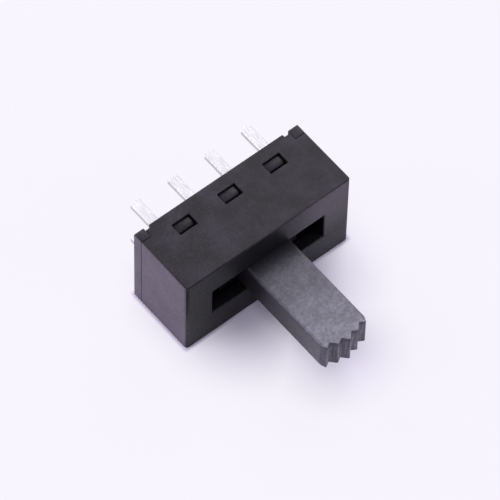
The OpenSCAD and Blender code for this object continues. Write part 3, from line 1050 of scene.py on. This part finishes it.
def matt_paper(name, colour, backdrop):
    """Uncoated paper: matt and nearly white, a little cloudy from its fibres. Rays of the camera, of gloss
    and of glass see the plain backdrop in it, more and more away from the switch, and the lit paper with
    its shade near the switch. All other rays see the paper."""
    made, tree, mm = new_material(name)
    # Clouds of fibre 2 mm across, and the shares of the colour in them and beside them
    cloudy, clear = 0.985, 1.015
    fibre = add(tree, "ShaderNodeTexNoise", {"Vector": mm, "Scale": 0.5, "Detail": 2.0})
    tone = add(
        tree,
        "ShaderNodeMix",
        {"Factor": fibre.outputs[0], "A": rgba(colour, cloudy), "B": rgba(colour, clear)},
        data_type="RGBA",
    )
    matt = add(tree, "ShaderNodeBsdfDiffuse", {"Color": tone.outputs["Result"]})
    glow = add(tree, "ShaderNodeEmission", {"Color": rgba(backdrop), "Strength": 1.0})

    from_body = footprint_distance(tree, mm, *np.array(SHADE_POOL))
    from_knob = footprint_distance(tree, mm, *np.array(KNOB_POOL))
    low, high = np.array(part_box("housing")) / MM
    contact = add(
        tree,
        "ShaderNodeMapRange",
        {"Value": footprint_distance(tree, mm, low, high), "From Max": CONTACT_REACH},
        interpolation_type="SMOOTHSTEP",
    )
    lifted = add(tree, "ShaderNodeMath", {0: from_knob, 1: KNOB_LIFT})
    nearest = add(tree, "ShaderNodeMath", {0: from_body, 1: lifted.outputs[0]}, operation="MINIMUM")
    share = add(
        tree,
        "ShaderNodeMapRange",
        {"Value": nearest.outputs[0], "From Max": GLOW_REACH, "To Max": GLOW_SHARE},
        interpolation_type="SMOOTHSTEP",
    )
    for part in (contact.outputs[0], background_rays(tree)):
        share = add(tree, "ShaderNodeMath", {0: share.outputs[0], 1: part}, operation="MULTIPLY")
    both = {0: share.outputs[0], 1: matt.outputs[0], 2: glow.outputs[0]}
    return close_material(made, tree, add(tree, "ShaderNodeMixShader", both))


def lay_sheet(scene):
    """The pale sheet of paper that the switch lies on."""
    paper = matt_paper("matt white paper", colours().paper, colours().backdrop)
    mesh = bpy.data.meshes.new("sheet")
    r = SHEET_HALF
    mesh.from_pydata([(-r, -r, 0), (r, -r, 0), (r, r, 0), (-r, r, 0)], [], [(0, 1, 2, 3)])
    mesh.transform(Matrix.Translation((0, 0, -SHEET_DROP)))
    mesh.materials.append(paper)
    sheet = bpy.data.objects.new("sheet", mesh)
    scene.collection.objects.link(sheet)


def pale_room(scene):
    """The room lights the switch a little from all sides. Rays of the camera, of gloss and of glass see its
    pale walls and its darker ceiling: that strength falls with height."""
    scene.world = bpy.data.worlds.new("pale room")
    scene.world.use_nodes = True
    tree = scene.world.node_tree
    tree.nodes.clear()
    tone = rgba(colours().room)
    light = add(tree, "ShaderNodeBackground", {"Color": tone, "Strength": AMBIENT})
    direction = add(tree, "ShaderNodeTexCoord")
    height = add(tree, "ShaderNodeSeparateXYZ", {"Vector": direction.outputs["Generated"]})
    fall = add(
        tree,
        "ShaderNodeMapRange",
        {"Value": height.outputs["Z"], "To Min": HORIZON, "To Max": OVERHEAD},
    )
    look = add(tree, "ShaderNodeBackground", {"Color": tone, "Strength": fall.outputs[0]})
    both = {0: background_rays(tree), 1: light.outputs[0], 2: look.outputs[0]}
    mixed = add(tree, "ShaderNodeMixShader", both)
    add(tree, "ShaderNodeOutputWorld", {"Surface": mixed.outputs[0]})


def stand_camera(scene):
    """The camera looks back along its bearing, and is rolled about that line."""
    camera = bpy.data.cameras.new("camera")
    camera.sensor_width = SENSOR_WIDTH
    camera.lens = FOCAL_LENGTH
    camera.clip_start = 0.01
    camera.clip_end = 10.0
    stand = bpy.data.objects.new("camera", camera)
    back = bearing(*CAMERA_BEARING)
    level = Vector((0, 0, 1)).cross(back).normalized()
    upright = back.cross(level)
    roll = math.radians(CAMERA_ROLL)
    right = level * math.cos(roll) - upright * math.sin(roll)
    up = level * math.sin(roll) + upright * math.cos(roll)
    place = right * CAMERA_PLACE[0] + up * CAMERA_PLACE[1] + back * CAMERA_PLACE[2]
    turn = Matrix((right, up, back)).transposed().to_4x4()
    stand.matrix_world = Matrix.Translation(place) @ turn
    scene.collection.objects.link(stand)
    scene.camera = stand


class SWITCH_OT_stage(bpy.types.Operator):
    """Sets the pale sheet, the soft lamps and the camera round the switch"""

    bl_idname = "switch.stage"
    bl_label = "Stage"

    def execute(self, context):
        scene = context.scene
        lay_sheet(scene)
        for name, box in SOFTBOXES.items():
            softbox(name, *box)
        pale_room(scene)
        stand_camera(scene)
        scene.view_settings.view_transform = "Standard"
        return {"FINISHED"}


class SWITCH_PT_panel(bpy.types.Panel):
    """Lists the steps and the values that they read"""

    bl_label = "Slide switch"
    bl_idname = "SWITCH_PT_panel"
    bl_space_type = "VIEW_3D"
    bl_region_type = "UI"
    bl_category = "Slide switch"

    def draw(self, context):
        for step in STEPS:
            self.layout.operator(step.bl_idname)
        for group in (context.scene.switch_sizes, context.scene.switch_colours):
            for name in group.__annotations__:
                self.layout.prop(group, name)


STEPS = (
    SWITCH_OT_cover,
    SWITCH_OT_base,
    SWITCH_OT_slider,
    SWITCH_OT_terminals,
    SWITCH_OT_contacts,
    SWITCH_OT_detent,
    SWITCH_OT_stage,
)
CLASSES = (SwitchSizes, SwitchColours, *STEPS, SWITCH_PT_panel)


def register():
    """Registers the classes and gives the scene its two groups of values."""
    for each in CLASSES:
        bpy.utils.register_class(each)
    bpy.types.Scene.switch_sizes = bpy.props.PointerProperty(type=SwitchSizes)
    bpy.types.Scene.switch_colours = bpy.props.PointerProperty(type=SwitchColours)


def unregister():
    """Takes back what register did, in the opposite order."""
    del bpy.types.Scene.switch_colours
    del bpy.types.Scene.switch_sizes
    for each in reversed(CLASSES):
        bpy.utils.unregister_class(each)


def main():
    """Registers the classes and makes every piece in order."""
    register()
    bpy.ops.switch.cover()
    bpy.ops.switch.base()
    bpy.ops.switch.slider()
    bpy.ops.switch.terminals()
    bpy.ops.switch.contacts()
    bpy.ops.switch.detent()
    bpy.ops.switch.stage()


if __name__ == "__main__":
    main()
